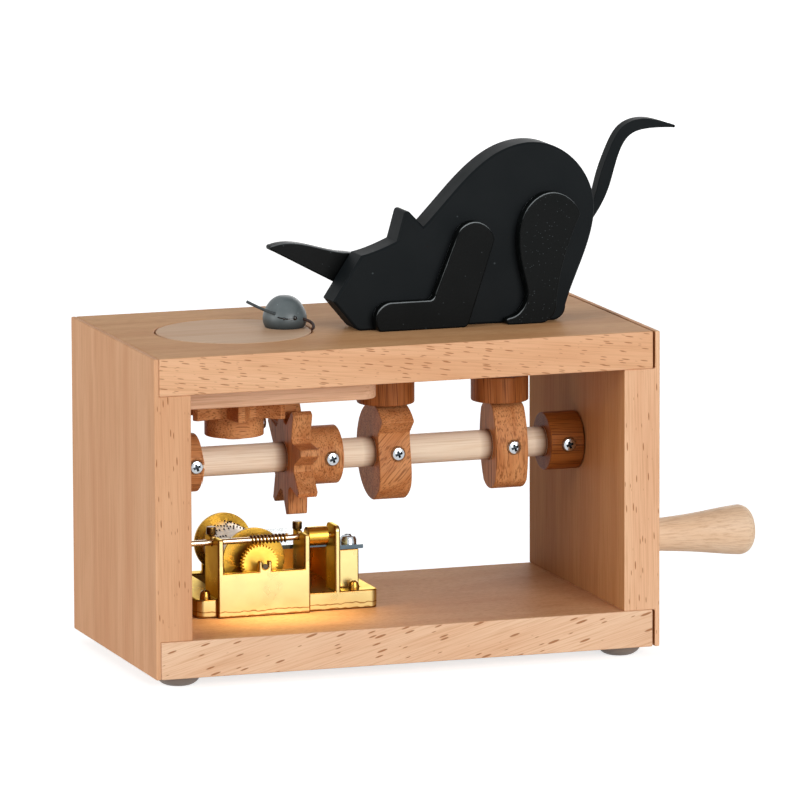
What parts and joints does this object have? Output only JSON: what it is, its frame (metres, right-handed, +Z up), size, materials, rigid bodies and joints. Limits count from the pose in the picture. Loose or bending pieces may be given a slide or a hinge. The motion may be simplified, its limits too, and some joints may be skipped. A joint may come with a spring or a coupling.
{
  "type": "hand-cranked wooden automaton",
  "caption": "Wooden box-frame toy: a side crank turns a camshaft that spins a mouse on a turntable, lifts a black cat's paw and tail, and plays a music movement.",
  "frame": {"origin": "middle of the whole toy's bounding box, on the surface the feet stand on", "axes": "+X along the camshaft to the crank side, +Y to the back, +Z up"},
  "size_m": [0.1802, 0.076, 0.1397],
  "materials": {
    "beech": "clear satin lacquer",
    "brown_wood": "oiled",
    "dowel": "sanded",
    "crank_wood": "clear satin lacquer",
    "black_wood": "satin black paint",
    "grey_wood": "satin grey paint",
    "grey_cord": "waxed cord",
    "brown_cord": "waxed cord",
    "foot_rubber": "clear soft dome",
    "screw_steel": "plated",
    "gold_casting": "gold coated casting",
    "comb_steel": "ground",
    "arbor_steel": "polished",
    "drum_metal": "polished",
    "wheel_plastic": "moulded",
    "pulley_brass": "turned",
    "belt_rubber": "moulded"
  },
  "bodies": {
    "frame": {"base_board": "beech", "left_wall": "beech", "right_wall": "beech", "top_board": "beech", "bearing_plate": "brown_wood", "foot_front_left": "foot_rubber", "foot_front_right": "foot_rubber", "foot_back_left": "foot_rubber", "foot_back_right": "foot_rubber", "cat_body": "black_wood", "cat_front_leg": "black_wood", "cat_hind_leg": "black_wood", "lever_pins": "screw_steel", "movement_bed": "gold_casting", "bed_screws": "screw_steel", "tone_comb": "comb_steel", "comb_screws": "screw_steel", "arbor_caps": "screw_steel", "drive_belt": "belt_rubber"},
    "camshaft": {"camshaft": "dowel", "left_collar": "brown_wood", "right_collar": "brown_wood", "drive_star": "brown_wood", "paw_cam": "brown_wood", "tail_cam": "brown_wood", "camshaft_screws": "screw_steel", "camshaft_pulley": "brown_wood", "crank_arm": "crank_wood", "crank_pin": "screw_steel"},
    "crank_grip": {"crank_handle": "crank_wood"},
    "turntable": {"turntable_disc": "beech", "turntable_spindle": "dowel", "driven_star": "brown_wood", "turntable_screw": "screw_steel", "mouse_body": "grey_wood", "mouse_tail": "grey_cord", "mouse_chin_cord": "brown_cord"},
    "worm_arbor": {"worm_arbor": "arbor_steel", "arbor_sleeve": "drum_metal", "arbor_pulley": "pulley_brass"},
    "cylinder": {"drum_axle": "arbor_steel", "music_drum": "drum_metal", "front_rim": "drum_metal", "rear_rim": "drum_metal", "worm_wheel": "wheel_plastic"},
    "paw_follower": {"paw_follower_disc": "brown_wood", "paw_follower_rod": "dowel"},
    "tail_follower": {"tail_follower_disc": "brown_wood", "tail_follower_rod": "dowel"},
    "paw": {"cat_paw": "black_wood"},
    "tail": {"cat_tail": "black_wood"}
  },
  "joints": [
    {"name": "camshaft_spin", "type": "hinge", "parent": "frame", "child": "camshaft", "pos_m": [0, 0, 0.0534], "axis": [1, 0, 0], "continuous": true},
    {"name": "grip_spin", "type": "hinge", "parent": "camshaft", "child": "crank_grip", "pos_m": [0.07, 0, 0.0258], "axis": [1, 0, 0], "continuous": true},
    {"name": "turntable_spin", "type": "hinge", "parent": "frame", "child": "turntable", "pos_m": [-0.0565, 0, 0.08], "axis": [0, 0, 1], "continuous": true},
    {"name": "arbor_spin", "type": "hinge", "parent": "frame", "child": "worm_arbor", "pos_m": [-0.0517, -0.0061, 0.03265], "axis": [1, 0, 0], "continuous": true},
    {"name": "cylinder_spin", "type": "hinge", "parent": "frame", "child": "cylinder", "pos_m": [-0.0517, 0, 0.02635], "axis": [0, 1, 0], "continuous": true},
    {"name": "paw_lift", "type": "slide", "parent": "frame", "child": "paw_follower", "axis": [0, 0, 1], "range_m": [0, 0.0044]},
    {"name": "paw_swing", "type": "hinge", "parent": "frame", "child": "paw", "pos_m": [-0.00275, 0, 0.0996], "axis": [0, 1, 0], "range_deg": [0, 26.8]},
    {"name": "tail_lift", "type": "slide", "parent": "frame", "child": "tail_follower", "axis": [0, 0, 1], "range_m": [0, 0.0054]},
    {"name": "tail_swing", "type": "hinge", "parent": "frame", "child": "tail", "pos_m": [0.0064, 0, 0.1085], "axis": [0, -1, 0], "range_deg": [0, 31.9]}
  ],
  "couplings": [
    {"joint": "turntable_spin", "follows": "camshaft_spin", "ratio": -1},
    {"joint": "arbor_spin", "follows": "camshaft_spin", "ratio": 2},
    {"joint": "cylinder_spin", "follows": "camshaft_spin", "ratio": -0.058824},
    {"joint": "paw_swing", "follows": "paw_lift", "rad_per_m": 106},
    {"joint": "tail_swing", "follows": "tail_lift", "rad_per_m": 103}
  ]
}
